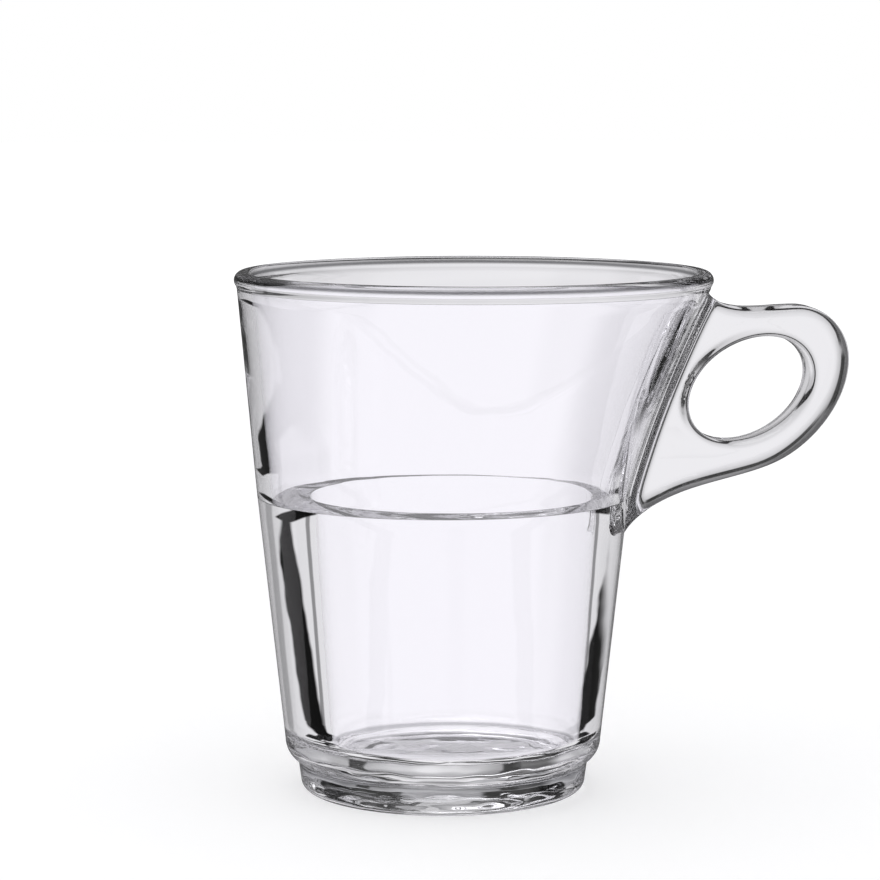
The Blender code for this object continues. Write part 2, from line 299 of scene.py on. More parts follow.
def upper_inside(size):
    """The inside from the rim down to the hollow rounding at the outer edge of the shelf."""
    fall = shelf_fall(size)
    hollow = size.shelf_hollow
    low = size.ledge_height - size.shelf_sink + hollow * math.tan((math.pi / 2 - fall) / 2)
    stations = []
    for height in reversed(spaced(low, rim_base(size), WALL_STEPS)):
        centre, radius = wall_section(size, max(height, size.ledge_height))
        stations.append((centre, radius - size.upper_wall, height))
    middle = size.ledge_radius - size.upper_wall - hollow
    bend = arc(middle, low, hollow, 0, math.degrees(fall) - 90, steps=5)[1:]
    return stations + [(0.0, radius, height) for radius, height in bend]


def well_inside(size):
    """The inside from the inner edge of the shelf down to the middle of the floor."""
    fall = shelf_fall(size)
    edge = size.shelf_round
    top = size.ledge_radius - size.upper_wall - size.shelf_width
    top_height = size.ledge_height - size.shelf_sink + size.shelf_rise
    bottom = size.body_radius - size.base_wall
    lean = math.atan2(top - bottom, top_height - size.floor_height)
    run = edge * math.tan((math.pi / 2 - lean - fall) / 2)
    edge_x = top + run * math.cos(fall) + edge * math.sin(fall)
    edge_z = top_height + run * math.sin(fall) - edge * math.cos(fall)
    well = arc(edge_x, edge_z, edge, 90 + math.degrees(fall), 180 - math.degrees(lean), steps=7)
    low = size.floor_height + size.floor_round * (1 - math.sin(lean))
    middle = bottom + (low - size.floor_height) * math.tan(lean) - size.floor_round * math.cos(lean)
    start = well[-1]
    radii = spaced(start[0], middle + size.floor_round * math.cos(lean), BODY_STEPS)
    heights = spaced(start[1], low, BODY_STEPS)
    well += list(zip(radii, heights))[1:-1]
    floor_middle = size.floor_height + size.floor_round
    well += arc(middle, floor_middle, size.floor_round, -math.degrees(lean), -90, steps=9)
    well += [(middle - size.crease_ease, size.floor_height), (middle / 2, size.floor_height)]
    return [(size.well_offset, radius, height) for radius, height in well]


def axis_x(size):
    """Where the axis of the lower body stands along the cup."""
    return BOWL_LOW.x - size.mouth_offset + size.mouth_radius + size.rim_proud


def heading(turn):
    return Vector((math.cos(turn), math.sin(turn)))


def hole_axes(grip):
    """Directions along and across the tilted finger hole."""
    return heading(grip.hole_tilt), heading(grip.hole_tilt + math.pi / 2)


def hole_support(grip, direction):
    """The hole's edge point whose outward normal has this direction, from the hole's middle."""
    along, across = hole_axes(grip)
    long_part = (grip.hole_length / 2) ** 2 * direction.dot(along)
    short_part = (grip.hole_width / 2) ** 2 * direction.dot(across)
    spread = math.sqrt(long_part * direction.dot(along) + short_part * direction.dot(across))
    return (along * long_part + across * short_part) / spread


def hole_middle(size, grip):
    height = size.height - grip.drop - grip.top_bar - hole_support(grip, Vector((0.0, 1.0))).y
    reach = wall_reach(size, height) + grip.root_bar + hole_support(grip, Vector((1.0, 0.0))).x
    return Vector((reach, height))


def bezier(start, start_handle, end_handle, end, steps=22):
    points = interpolate_bezier(start, start_handle, end_handle, end, steps)
    return [point.to_2d() for point in points][:-1]


def handle_edge(size, grip):
    """Outer edge of the handle from inside the wall at the neck round the tip to inside it at the root."""
    middle = hole_middle(size, grip)
    top = size.height - grip.drop
    neck = Vector((wall_reach(size, top + grip.neck_rise), top + grip.neck_rise))
    top_start = Vector((wall_reach(size, top) + grip.neck_run, top - grip.top_sag))
    hole_end = middle.x + hole_support(grip, Vector((1.0, 0.0))).x
    tip = Vector((hole_end + grip.end_bar, middle.y + grip.tip_rise))
    top_end = Vector((tip.x - grip.tip_length, top))
    outward = heading(grip.lower_angle)
    low = middle + hole_support(grip, outward) + outward * grip.lower_bar
    onward = Vector((outward.y, -outward.x))
    root_height = size.ledge_height - grip.root_drop
    inward = heading(grip.root_angle)
    root = Vector((wall_reach(size, root_height), root_height))
    outset = heading(grip.neck_angle)
    run = Vector((BEZIER_QUARTER * grip.neck_run, 0.0))
    level = Vector(((top_end.x - top_start.x) / 3, 0.0))
    round_off = Vector((BEZIER_QUARTER * grip.tip_length, 0.0))
    turn = Vector((0.0, BEZIER_QUARTER * (top - tip.y)))
    bend = (tip - low).length / 3
    edge = [neck - outset * grip.root_sink]
    edge += bezier(neck, neck + outset * BEZIER_QUARTER * grip.neck_rise, top_start - run, top_start)
    edge += bezier(top_start, top_start + level, top_end - level, top_end)
    edge += bezier(top_end, top_end + round_off, tip + turn, tip)
    edge += bezier(tip, tip - Vector((0.0, bend)), low - onward * bend, low, steps=40)
    edge += bezier(low, low + onward * grip.root_lead, root - inward * grip.root_sweep, root, steps=30)
    return edge + [root, root + inward * grip.root_sink]


def inset_directions(size, grip, edge):
    """Unit directions into the handle from its outer edge, turning along the wall where it is buried."""
    directions = []
    for i, point in enumerate(edge):
        before, after = edge[max(i - 1, 0)], edge[min(i + 1, len(edge) - 1)]
        along = (after - before).normalized()
        square = Vector((along.y, -along.x))
        rise = math.copysign(grip.edge_round, square.y)
        wall = Vector((wall_reach(size, point.y + rise) - wall_reach(size, point.y), rise)).normalized()
        clear = (point.x - wall_reach(size, point.y) + grip.root_sink) / (grip.root_sink + grip.edge_round)
        directions.append(wall.lerp(square, min(max(clear, 0.0), 1.0)).normalized())
    return directions


def face_wall(size, grip, height):
    """Where the wall stands beside the handle's face; it curves away from the middle plane."""
    centre, radius = wall_section(size, height)
    side = grip.thickness / 2 + grip.fillet / 2
    return centre + math.sqrt(radius**2 - side**2)


def half_thickness(size, grip, point, easing, edge):
    """Half the handle's thickness at a point; easing is 0 on its edge and 1 on its flat face."""
    # Share of the fillet that is left out, where it would stand upright
    upright_share = 0.05
    face = grip.thickness / 2 - edge + edge * math.sqrt(max(0.0, 1 - (1 - easing) ** 2))
    gap = max(point.x - face_wall(size, grip, point.y), 0.0) + upright_share * grip.fillet
    flare = 0.0
    if gap < grip.fillet:
        flare = grip.fillet - math.sqrt(grip.fillet**2 - (grip.fillet - gap) ** 2)
    return face * (1 + flare / (grip.thickness / 2))


# The net over the handle's face: steps along its edges, and rows that stand close beside the wall
EASE_STEPS = 8
HOLE_STEPS = 120
BURIED_STEPS = 40
ROOT_STEPS = 44
FACE_MARGIN = 0.35 * MM
ROOT_GAPS_MM = (-0.5, -0.2, 0.0, 0.12, 0.3, 0.55, 0.85, 1.2, 1.6, 2.0, 2.5, 3.0, 3.5, 4.0, 4.5)
ROOT_CLEAR = 1.2
NET_GRAIN = 1e-7
INSIDE_LINKS = 1


def face_points(size, grip):
    """Points of the handle's face with their easing, and the edges that the net has to follow."""
    points, links, outline = [], [], []

    def row(line, inward, easing, extra, edge_round, closed):
        first = len(points)
        for p, n in zip(line, inward):
            points.append((p + n * (edge_round * easing + extra), easing, edge_round))
        count = len(line)
        links.extend((first + i, first + i + 1) for i in range(count - 1))
        if closed:
            links.append((first + count - 1, first))
        return list(range(first, first + count))

    edge = handle_edge(size, grip)
    inward = inset_directions(size, grip, edge)
    turns = [heading(2 * math.pi * k / HOLE_STEPS) for k in range(HOLE_STEPS)]
    middle = hole_middle(size, grip)
    hole = [middle + hole_support(grip, turn) for turn in turns]
    for k in range(EASE_STEPS + 1):
        easing = 1 - math.cos(math.pi / 2 * k / EASE_STEPS)
        margins = (0.0, FACE_MARGIN) if k == EASE_STEPS else (0.0,)
        for extra in margins:
            ids = row(edge, inward, easing, extra, grip.edge_round, False)
            if k == 0:
                outline = ids
            row(hole, turns, easing, extra, grip.hole_round, True)
    low, high = edge[-1].y, edge[0].y
    first = len(points)
    buried = spaced(low, high, BURIED_STEPS)[1:-1]
    for height in buried:
        points.append((Vector((wall_reach(size, height) - grip.root_sink, height)), 1.0, grip.edge_round))
    border = [outline[-1], *range(first, first + len(buried)), outline[0]]
    links.extend(zip(border, border[1:]))
    reach = 2 * grip.edge_round
    for gap in ROOT_GAPS_MM:
        for height in spaced(low + reach, high - reach, ROOT_STEPS):
            point = Vector((face_wall(size, grip, height) + gap * MM, height))
            if min((point - other).length for other in edge) > ROOT_CLEAR * grip.edge_round:
                points.append((point, 1.0, grip.edge_round))
    return points, links, [points[i][0] for i in border[:-1] + outline[:-1]]


def encloses(border, point):
    """True where a point lies inside a closed border."""
    inside = False
    for first, second in zip(border, border[1:] + border[:1]):
        if (first.y > point.y) != (second.y > point.y):
            crossing = first.x + (point.y - first.y) / (second.y - first.y) * (second.x - first.x)
            inside ^= crossing > point.x
    return inside


def handle_face(size, grip):
    """The front face of the handle as a net of triangles, with the finger hole left open."""
    points, links, border = face_points(size, grip)
    found = delaunay_2d_cdt([point for point, _, _ in points], links, [], INSIDE_LINKS, NET_GRAIN, True)
    corners, triangles, origins = found[0], found[2], found[3]
    middle = hole_middle(size, grip)
    along, across = hole_axes(grip)
    shift = axis_x(size)
    net = bmesh.new()
    made = []
    for corner, source in zip(corners, origins):
        easing, edge = min(((points[i][1], points[i][2]) for i in source), default=(1.0, grip.edge_round))
        depth = half_thickness(size, grip, corner, easing, edge)
        made.append(net.verts.new((corner.x + shift, -depth, corner.y)))
    for triangle in triangles:
        centre = sum((corners[i] for i in triangle), Vector((0.0, 0.0))) / 3
        out = (centre - middle) * 2
        outside = (out.dot(along) / grip.hole_length) ** 2 + (out.dot(across) / grip.hole_width) ** 2
        if outside > 1.0 and encloses(border, centre):
            net.faces.new([made[i] for i in triangle])
    loose = [corner for corner in net.verts if not corner.link_faces]
    bmesh.ops.delete(net, geom=loose, context="VERTS")
    return net


def set_mode(mode):
    bpy.ops.object.mode_set(mode=mode)


def deselect():
    if bpy.context.object and bpy.context.object.mode != "OBJECT":
        set_mode("OBJECT")
    bpy.ops.object.select_all(action="DESELECT")


def pick(piece):
    deselect()
    piece.select_set(True)
    bpy.context.view_layer.objects.active = piece


def edit_all():
    set_mode("EDIT")
    bpy.ops.mesh.select_all(action="SELECT")


def named(name):
    """The object that was added last, under its own name."""
    piece = bpy.context.object
    piece.name = piece.data.name = name
    return piece


def apply_boolean(piece, other, operation):
    pick(piece)
    cut = piece.modifiers.new("fuse", "BOOLEAN")
    cut.operation = operation
    cut.solver = "EXACT"
    cut.material_mode = "TRANSFER"
    cut.object = other
    bpy.ops.object.modifier_apply(modifier=cut.name)


def copy_of(piece, name):
    pick(piece)
    bpy.ops.object.duplicate(linked=False)
    return named(name)


def slot_of(piece, material):
    """Index of the slot that holds a material."""
    names = [slot.material.name if slot.material else "" for slot in piece.material_slots]
    return names.index(material)


def keep_faces(piece, index, keep):
    """Delete the faces of one material slot, or all the others."""
    pick(piece)
    set_mode("EDIT")
    bpy.ops.mesh.select_mode(type="FACE")
    bpy.ops.mesh.select_all(action="DESELECT")
    set_mode("OBJECT")
    for face in piece.data.polygons:
        face.select = (face.material_index == index) != keep
    set_mode("EDIT")
    bpy.ops.mesh.delete(type="FACE")
    set_mode("OBJECT")


def new_material(name):
    material = bpy.data.materials.new(name)
    material.use_nodes = True
    return material, material.node_tree, material.node_tree.nodes["Principled BSDF"]


def fill(node, values):
    for name, value in values.items():
        node.inputs[name].default_value = value


def feed(tree, socket, value):
    """Set a socket to a number, or link another socket to it."""
    if isinstance(value, float):
        socket.default_value = value
    else:
        tree.links.new(value, socket)


def calc(tree, operation, *values):
    node = tree.nodes.new("ShaderNodeMath")
    node.operation = operation
    for socket, value in zip(node.inputs, values):
        feed(tree, socket, value)
    return node.outputs["Value"]


def mix(tree, kind, factor, first, second):
    node = tree.nodes.new("ShaderNodeMix")
    node.data_type = kind
    for name, value in (("Factor", factor), ("A", first), ("B", second)):
        feed(tree, node.inputs[name], value)
    return node.outputs["Result"]


def soft_step(tree, value, span):
    """A node that goes softly from 0 to 1 over a span of a value."""
    node = tree.nodes.new("ShaderNodeMapRange")
    node.interpolation_type = "SMOOTHSTEP"
    fill(node, {"From Min": span[0], "From Max": span[1]})
    feed(tree, node.inputs["Value"], value)
    return node


# Clear and Cool are the glass's own colours; Foot and Rim are painted shade
TINTS_AND_PAINTED_SHADES = ("Clear", "Cool", "Foot", "Rim")
RELIEF = ("Wave", "Wedge", "Swell", "Ripple")
# Heights between which an effect of the glass comes in, from none to full
WEDGE_SPAN = (62.0 * MM, 95.0 * MM)
SWELL_SPAN = (57.0 * MM, 51.5 * MM)
RIPPLE_SPAN = (12.0 * MM, 7.0 * MM)
# Heights of the painted shade on the foot below its step
FOOT_SHADE_TOP_SPAN = (6.2 * MM, 5.2 * MM)
FOOT_SHADE_LOW_SPAN = (0.6 * MM, 4.2 * MM)
# Heights of the painted dark line along the rim
RIM_SHADE_LOW_SPAN = (88.4 * MM, 88.95 * MM)
RIM_SHADE_TOP_SPAN = (89.7 * MM, 89.15 * MM)
RIPPLE_SCALE = 130.0
RIPPLE_SQUASH = (1.0, 1.0, 2.6)
DRIFT_SCALE = 22.0
HAZE_DRIFT = (0.45, 0.75)


def polish_group():
    """Shared finish of the pressed glass: its colour with painted shade on the foot and rim, its haze and
    the relief of its surface.
    """
    name = "pressed_glass_finish"
    if name in bpy.data.node_groups:
        return bpy.data.node_groups[name]
    group = bpy.data.node_groups.new(name, "ShaderNodeTree")
    for socket in TINTS_AND_PAINTED_SHADES:
        group.interface.new_socket(socket, in_out="INPUT", socket_type="NodeSocketColor")
    for socket in ("Haze", "Scale", *RELIEF):
        group.interface.new_socket(socket, in_out="INPUT", socket_type="NodeSocketFloat")
    # The colour output below carries painted shade on the foot and rim as well as the glass's own colour
    group.interface.new_socket("Tint", in_out="OUTPUT", socket_type="NodeSocketColor")
    for socket in ("Roughness", "Height"):
        group.interface.new_socket(socket, in_out="OUTPUT", socket_type="NodeSocketFloat")
    nodes, link = group.nodes, group.links.new
    given = nodes.new("NodeGroupInput").outputs
    made = nodes.new("NodeGroupOutput").inputs
    spot = nodes.new("ShaderNodeTexCoord").outputs["Object"]
    apart = nodes.new("ShaderNodeSeparateXYZ")
    link(spot, apart.inputs["Vector"])
    squash = nodes.new("ShaderNodeVectorMath")
    squash.operation = "MULTIPLY"
    squash.inputs[1].default_value = RIPPLE_SQUASH
    link(spot, squash.inputs[0])

    def noise(vector, scale, detail):
        node = nodes.new("ShaderNodeTexNoise")
        node.inputs["Detail"].default_value = detail
        link(vector, node.inputs["Vector"])
        feed(group, node.inputs["Scale"], scale)
        return node.outputs["Fac"]

    def over_height(span, full=None):
        node = soft_step(group, apart.outputs["Z"], span)
        if full is not None:
            link(full, node.inputs["To Max"])
        return node.outputs["Result"]

    wedge = over_height(WEDGE_SPAN, given["Wedge"])
    thick = calc(group, "ADD", wedge, over_height(SWELL_SPAN, given["Swell"]))
    height = calc(group, "MULTIPLY_ADD", noise(spot, given["Scale"], 2.0), given["Wave"], thick)
    ripple = noise(squash.outputs["Vector"], RIPPLE_SCALE, 1.0)
    height = calc(group, "MULTIPLY_ADD", ripple, over_height(RIPPLE_SPAN, given["Ripple"]), height)
    link(height, made["Height"])
    drift = noise(spot, DRIFT_SCALE, 3.0)
    tint_and_painted_shade = mix(group, "RGBA", drift, given["Clear"], given["Cool"])
    # Painted shade: the foot below its step turns dark grey, partly the deeper colour of thick glass
    painted_foot_shade = over_height(FOOT_SHADE_LOW_SPAN, over_height(FOOT_SHADE_TOP_SPAN))
    tint_and_painted_shade = mix(group, "RGBA", painted_foot_shade, tint_and_painted_shade, given["Foot"])
    # Painted shade: a nearly black line along the rolled rim
    painted_rim_shade = over_height(RIM_SHADE_TOP_SPAN, over_height(RIM_SHADE_LOW_SPAN))
    tint_and_painted_shade = mix(group, "RGBA", painted_rim_shade, tint_and_painted_shade, given["Rim"])
    link(tint_and_painted_shade, made["Tint"])
    haze = soft_step(group, drift, HAZE_DRIFT)
    haze.interpolation_type = "LINEAR"
    link(given["Haze"], haze.inputs["To Max"])
    link(haze.outputs["Result"], made["Roughness"])
    return group


def glass_material(name, glass):
    material, tree, shader = new_material(name)
    nodes, link = tree.nodes, tree.links.new
    fill(shader, {"Transmission Weight": 1.0, "IOR": glass.ior})
    finish = nodes.new("ShaderNodeGroup")
    finish.node_tree = polish_group()
    for socket in TINTS_AND_PAINTED_SHADES:
        finish.inputs[socket].default_value = (*getattr(glass, socket.lower()), 1.0)
    for socket in RELIEF:
        finish.inputs[socket].default_value = getattr(glass, socket.lower()) / MM
    fill(finish, {"Haze": glass.haze, "Scale": 1 / glass.wave_size})
    # Base colour: the glass's own colour, with painted shade on the foot and rim
    link(finish.outputs["Tint"], shader.inputs["Base Color"])
    link(finish.outputs["Roughness"], shader.inputs["Roughness"])
    bump = nodes.new("ShaderNodeBump")
    fill(bump, {"Distance": MM})
    link(finish.outputs["Height"], bump.inputs["Height"])
    link(bump.outputs["Normal"], shader.inputs["Normal"])
    clear = nodes.new("ShaderNodeBsdfTransparent")
    fill(clear, {"Color": (glass.shadow, glass.shadow, glass.shadow, 1.0)})
    path = nodes.new("ShaderNodeLightPath")
    blend = nodes.new("ShaderNodeMixShader")
    link(path.outputs["Is Shadow Ray"], blend.inputs["Fac"])
    link(shader.outputs["BSDF"], blend.inputs[1])
    link(clear.outputs["BSDF"], blend.inputs[2])
    link(blend.outputs["Shader"], nodes["Material Output"].inputs["Surface"])
    return material


def joint_material():
    """The fused joint inside the glass, where light passes straight on."""
    material, _, shader = new_material("fused_joint")
    fill(shader, {"Alpha": 0.0})
    return material


class CUP_OT_bowl(bpy.types.Operator):
    """Draw the bowl ring by ring, from under the foot over the rim to the floor inside"""

    bl_idname = "cup.bowl"
    bl_label = "Bowl"

    def execute(self, context):
        size = context.scene.cup_bowl
        stations = foot_stations(size) + wall_stations(size) + rim_stations(size)
        stations += upper_inside(size) + well_inside(size)
        shift = axis_x(size)
        deselect()
        centre, radius, height = stations[0]
        bpy.ops.mesh.primitive_circle_add(vertices=size.segments, radius=radius, fill_type="NOTHING")
        bowl = named("bowl_glass")
        set_mode("EDIT")
        bpy.ops.mesh.select_mode(type="EDGE")
        bpy.ops.mesh.select_all(action="SELECT")
        bpy.ops.transform.translate(value=(shift + centre, 0.0, height))
        for now, then in zip(stations, stations[1:]):
            move = (then[0] - now[0], 0.0, then[2] - now[2])
            bpy.ops.mesh.extrude_region_move(TRANSFORM_OT_translate={"value": move})
            grow = then[1] / now[1]
            middle = (shift + then[0], 0.0, then[2])
            bpy.ops.transform.resize(value=(grow, grow, 1.0), center_override=middle)
        bpy.ops.mesh.select_all(action="SELECT")
        bpy.ops.mesh.fill_holes(sides=0)
        bpy.ops.mesh.select_all(action="SELECT")
        bpy.ops.mesh.normals_make_consistent(inside=False)
        set_mode("OBJECT")
        bowl.data.materials.append(glass_material("bowl_clear_glass", context.scene.cup_glass))
        return {"FINISHED"}


class CUP_OT_handle(bpy.types.Operator):
    """Draw one face of the pierced handle, fold its edge to the middle plane and mirror it"""

    bl_idname = "cup.handle"
    bl_label = "Handle"

    def execute(self, context):
        size, grip = context.scene.cup_bowl, context.scene.cup_handle
        deselect()
        bpy.ops.mesh.primitive_plane_add(size=grip.thickness)
        handle = named("handle_glass")
        net = handle_face(size, grip)
        net.to_mesh(handle.data)
        net.free()
        set_mode("EDIT")
        bpy.ops.mesh.select_mode(type="EDGE")
        bpy.ops.mesh.select_all(action="DESELECT")
        bpy.ops.mesh.select_non_manifold()
        bpy.ops.mesh.extrude_region_move(TRANSFORM_OT_translate={"value": (0.0, 0.0, 0.0)})
        bpy.ops.transform.resize(value=(1.0, 0.0, 1.0), center_override=(0.0, 0.0, 0.0))
        set_mode("OBJECT")
        mirror = handle.modifiers.new("mirror", "MIRROR")
        mirror.use_axis = (False, True, False)
        mirror.merge_threshold = 0.01 * MM
        bpy.ops.object.modifier_apply(modifier=mirror.name)
        edit_all()
        bpy.ops.mesh.normals_make_consistent(inside=False)
        set_mode("OBJECT")
        handle.data.materials.append(glass_material("handle_clear_glass", context.scene.cup_glass))
        return {"FINISHED"}


class CUP_OT_fuse(bpy.types.Operator):
    """Fuse the handle to the bowl: both stay closed pieces that share one clear joint"""

    bl_idname = "cup.fuse"
    bl_label = "Fuse"

    def execute(self, context):
        bowl, handle = bpy.data.objects["bowl_glass"], bpy.data.objects["handle_glass"]
        smooth_below = math.radians(38.0)
        whole = copy_of(handle, "handle_whole")
        apply_boolean(handle, bowl, "DIFFERENCE")
        joint_slot = slot_of(handle, "bowl_clear_glass")
        handle.material_slots[joint_slot].material = joint_material()
        patch = copy_of(handle, "joint_patch")
        keep_faces(patch, joint_slot, True)
        pick(patch)
        edit_all()
        bpy.ops.mesh.flip_normals()
        set_mode("OBJECT")
        apply_boolean(bowl, whole, "UNION")
        keep_faces(bowl, slot_of(bowl, "handle_clear_glass"), False)
        bpy.data.objects.remove(whole, do_unlink=True)
        pick(patch)
        bowl.select_set(True)
        context.view_layer.objects.active = bowl
        bpy.ops.object.join()
        edit_all()
        bpy.ops.mesh.remove_doubles(threshold=0.002 * MM)
        set_mode("OBJECT")
        for piece, node in ((bowl, "bowl"), (handle, "handle")):
            pick(piece)
            bpy.ops.object.material_slot_remove_unused()
            bpy.ops.object.shade_smooth_by_angle(angle=smooth_below)
            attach(piece, BODY)
            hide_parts(node)
        return {"FINISHED"}


class CUP_OT_stage(bpy.types.Operator):
    """Set up the pale floor, the soft light and the camera"""

    bl_idname = "cup.stage"
    bl_label = "Stage"

    def execute(self, context):
        studio = context.scene.cup_studio
        make_floor(studio)
        make_lamp(studio)
        make_world(studio)
        make_camera(context.scene, studio)
        context.scene.view_settings.view_transform = "Standard"
        cycles = context.scene.cycles
        cycles.max_bounces = 48
        cycles.transmission_bounces = 32
        cycles.glossy_bounces = 40
        cycles.transparent_max_bounces = 32
        return {"FINISHED"}


# Distances from the cup between which the floor turns white, and where the lamp stands and points
FLOOR_FADE = (0.1, 1.2)
LAMP_PLACE = Vector((-0.25, -0.15, 1.1))
LAMP_AIM = Vector((0.0, 0.0, 0.04))


def make_floor(studio):
    """A pale floor that keeps the shadow and turns white to the eye further away."""
    deselect()
    bpy.ops.mesh.primitive_plane_add(size=studio.floor_size)
    floor = named("floor")
    material, tree, shader = new_material("pale_floor")
    nodes, link = tree.nodes, tree.links.new
    fill(shader, {"Base Color": (*studio.floor_colour, 1.0), "Roughness": 1.0, "Specular IOR Level": 0.0})
    spot = nodes.new("ShaderNodeTexCoord")
    away = nodes.new("ShaderNodeVectorMath")
    away.operation = "LENGTH"
    link(spot.outputs["Object"], away.inputs[0])
    far = soft_step(tree, away.outputs["Value"], FLOOR_FADE)
    fill(far, {"To Min": studio.near_lift, "To Max": studio.far_lift})
    path = nodes.new("ShaderNodeLightPath")
    lift = calc(tree, "MULTIPLY", path.outputs["Is Camera Ray"], far.outputs["Result"])
    link(lift, shader.inputs["Emission Strength"])
    floor.data.materials.append(material)
    floor.visible_transmission = False
    floor.visible_glossy = False


def make_lamp(studio):
    deselect()
    bpy.ops.object.light_add(type="AREA", location=LAMP_PLACE)
    lamp = named("overhead_soft_box")
    lamp.data.size = studio.lamp_size
    lamp.data.energy = studio.lamp_power
    lamp.rotation_euler = (LAMP_AIM - lamp.location).to_track_quat("-Z", "Y").to_euler()


# Directions in which light leaves the glass, in degrees: TILT above the level, TURN to the right of the line
# of sight, ASIDE to either side of it. AHEAD is the cosine to the line of sight, below 0 behind the camera.
# PANE numbers are shares of the way to the pane's border, and a TONE is 1 for white. Two numbers are where
# an effect starts and where it is full; three are its lower and upper limit and how soft both are.
REAR_AHEAD = (0.05, -0.25)
REAR_TONE = 0.97
PANE_BORDER = (0.87, 1.12, 0.03)
PANE_EDGE = (1.0, 1.2)
PANE_FADE = 0.5
LEFT_GAP_TURN, LEFT_GAP_TILT = (-8.0, -12.0), (-12.0, 8.0, 3.0)
LEFT_BAND_TURN, LEFT_BAND_TILT = (-21.5, -15.5, 0.8), (-8.0, 9.0, 2.0)
ROOM_TURN = (-12.0, 12.0)
OPEN_ASIDE, OPEN_TILT, OPEN_TONE = (31.0, 40.0), (-43.0, -50.0), 0.85
PANELS_ROUND, PANEL_EDGE = 6.0, (0.25, 0.45)
PLAIN_TILT, PLAIN_AHEAD = (8.0, 0.0), (-0.45, -0.65)
RIGHT_TURN = (-1.0, 1.0)
FLAG_SOFT = 1.6
LEFT_FLAG_TILT, RIGHT_FLAG_TILT = (-5.0, -5.7), (-6.5, -9.0)
STRIP_TILT = (-17.0, 8.0, 2.0)
STRIP_ASIDE, STRIP_TONES = (4.0, 9.0), (0.5, 0.85)
SEAM_ASIDE, SEAM_TONE = (53.0, 57.5, 1.0), 0.3
CAUGHT_TONES = (0.02, 0.55)
LONG_TILT, LONG_TONES = (0.0, 8.0), (0.02, 0.14)
SLANT_TILT, SLANT_ASIDE, SLANT_TONE = (7.0, 11.0), (25.0, 35.0), 0.05
ONCE_TILT, ONCE_TONES = (-4.0, 2.0), (0.85, 0.5)
DIM_TILT, DIM_TONE = (5.0, 24.0, 2.0), 0.1
OFTEN_TILT, OFTEN_TONES, MANY_TONE = (5.0, 20.0), (0.22, 0.8), 0.9
LOW_TILT, LOW_AHEAD, LOW_TONE = (-46.0, -18.5, 2.5), (0.55, 0.68), 0.15
HIGH_TILT, HIGH_TONE = (15.0, 30.0), 0.1


class Sky:
    """Nodes of the world that work with the direction in which light leaves the glass"""

    def __init__(self, tree, forward):
        self.tree = tree
        self.direction = tree.nodes.new("ShaderNodeTexCoord").outputs["Generated"]
        self.ahead = self.along((forward.x, forward.y, 0.0))
        right = self.along((forward.y, -forward.x, 0.0))
        self.tilt = self.calc("ARCSINE", self.along((0.0, 0.0, 1.0)))
        self.turn = self.calc("ARCTANGENT", self.calc("DIVIDE", right, self.ahead))
        self.aside = self.calc("ABSOLUTE", self.turn)
        self.rear = self.span(self.ahead, REAR_AHEAD)

    def along(self, direction):
        node = self.tree.nodes.new("ShaderNodeVectorMath")
        node.operation = "DOT_PRODUCT"
        node.inputs[1].default_value = direction
        feed(self.tree, node.inputs[0], self.direction)
        return node.outputs["Value"]

    def calc(self, operation, *values):
        return calc(self.tree, operation, *values)

    def both(self, first, second):
        return self.calc("MULTIPLY", first, second)

    def either(self, first, second):
        return self.calc("MAXIMUM", first, second)

    def at_least(self, value, count):
        return self.calc("GREATER_THAN", value, count - 0.5)

    def choose(self, factor, first, second):
        return mix(self.tree, "FLOAT", factor, first, second)

    def span(self, value, limits):
        """1 past a soft step (start, full), or inside a soft band (low, high, softness)."""
        if len(limits) == 2:
            return soft_step(self.tree, value, limits).outputs["Result"]
        low, high, soft = limits
        into = self.span(value, (low - soft, low + soft))
        return self.both(into, self.span(value, (high + soft, high - soft)))

    def degrees(self, value, limits):
        return self.span(value, [math.radians(limit) for limit in limits])


def pane_view(sky, studio):
    """What one wall shows: a white pane with a dark border, and the room round it."""
    drop = sky.calc("SUBTRACT", sky.tilt, studio.pane_tilt)
    across = sky.calc("DIVIDE", sky.calc("SUBTRACT", sky.turn, studio.pane_turn), studio.pane_width)
    above = sky.calc("DIVIDE", sky.calc("MAXIMUM", drop, 0.0), studio.pane_rise)
    below = sky.calc("DIVIDE", sky.calc("MINIMUM", drop, 0.0), studio.pane_fall)
    upright = sky.calc("ADD", sky.both(above, above), sky.both(below, below))
    square = sky.calc("ADD", sky.both(across, across), upright)
    reach = sky.calc("SQRT", square)
    gap = sky.both(sky.degrees(sky.turn, LEFT_GAP_TURN), sky.degrees(sky.tilt, LEFT_GAP_TILT))
    border = sky.choose(gap, sky.span(reach, PANE_BORDER), 0.0)
    band = sky.degrees(sky.turn, LEFT_BAND_TURN)
    band = sky.both(band, sky.degrees(sky.tilt, LEFT_BAND_TILT))
    shade = sky.calc("MULTIPLY_ADD", square, -PANE_FADE * studio.pane_tone, studio.pane_tone)
    room = sky.choose(sky.degrees(sky.turn, ROOM_TURN), studio.left_tone, studio.right_tone)
    pane = sky.choose(sky.span(reach, PANE_EDGE), shade, room)
    pane = sky.choose(sky.either(border, band), pane, studio.dark_tone)
    opening = sky.either(sky.degrees(sky.aside, OPEN_ASIDE), sky.degrees(sky.tilt, OPEN_TILT))
    return sky.choose(opening, pane, OPEN_TONE)


def panel_mask(sky):
    """White panels all round with dark gaps between them, and plain white low down and far behind."""
    panels = sky.span(sky.calc("COSINE", sky.both(sky.turn, PANELS_ROUND)), PANEL_EDGE)
    plain = sky.either(sky.degrees(sky.tilt, PLAIN_TILT), sky.span(sky.ahead, PLAIN_AHEAD))
    return sky.choose(sky.rear, panels, plain)


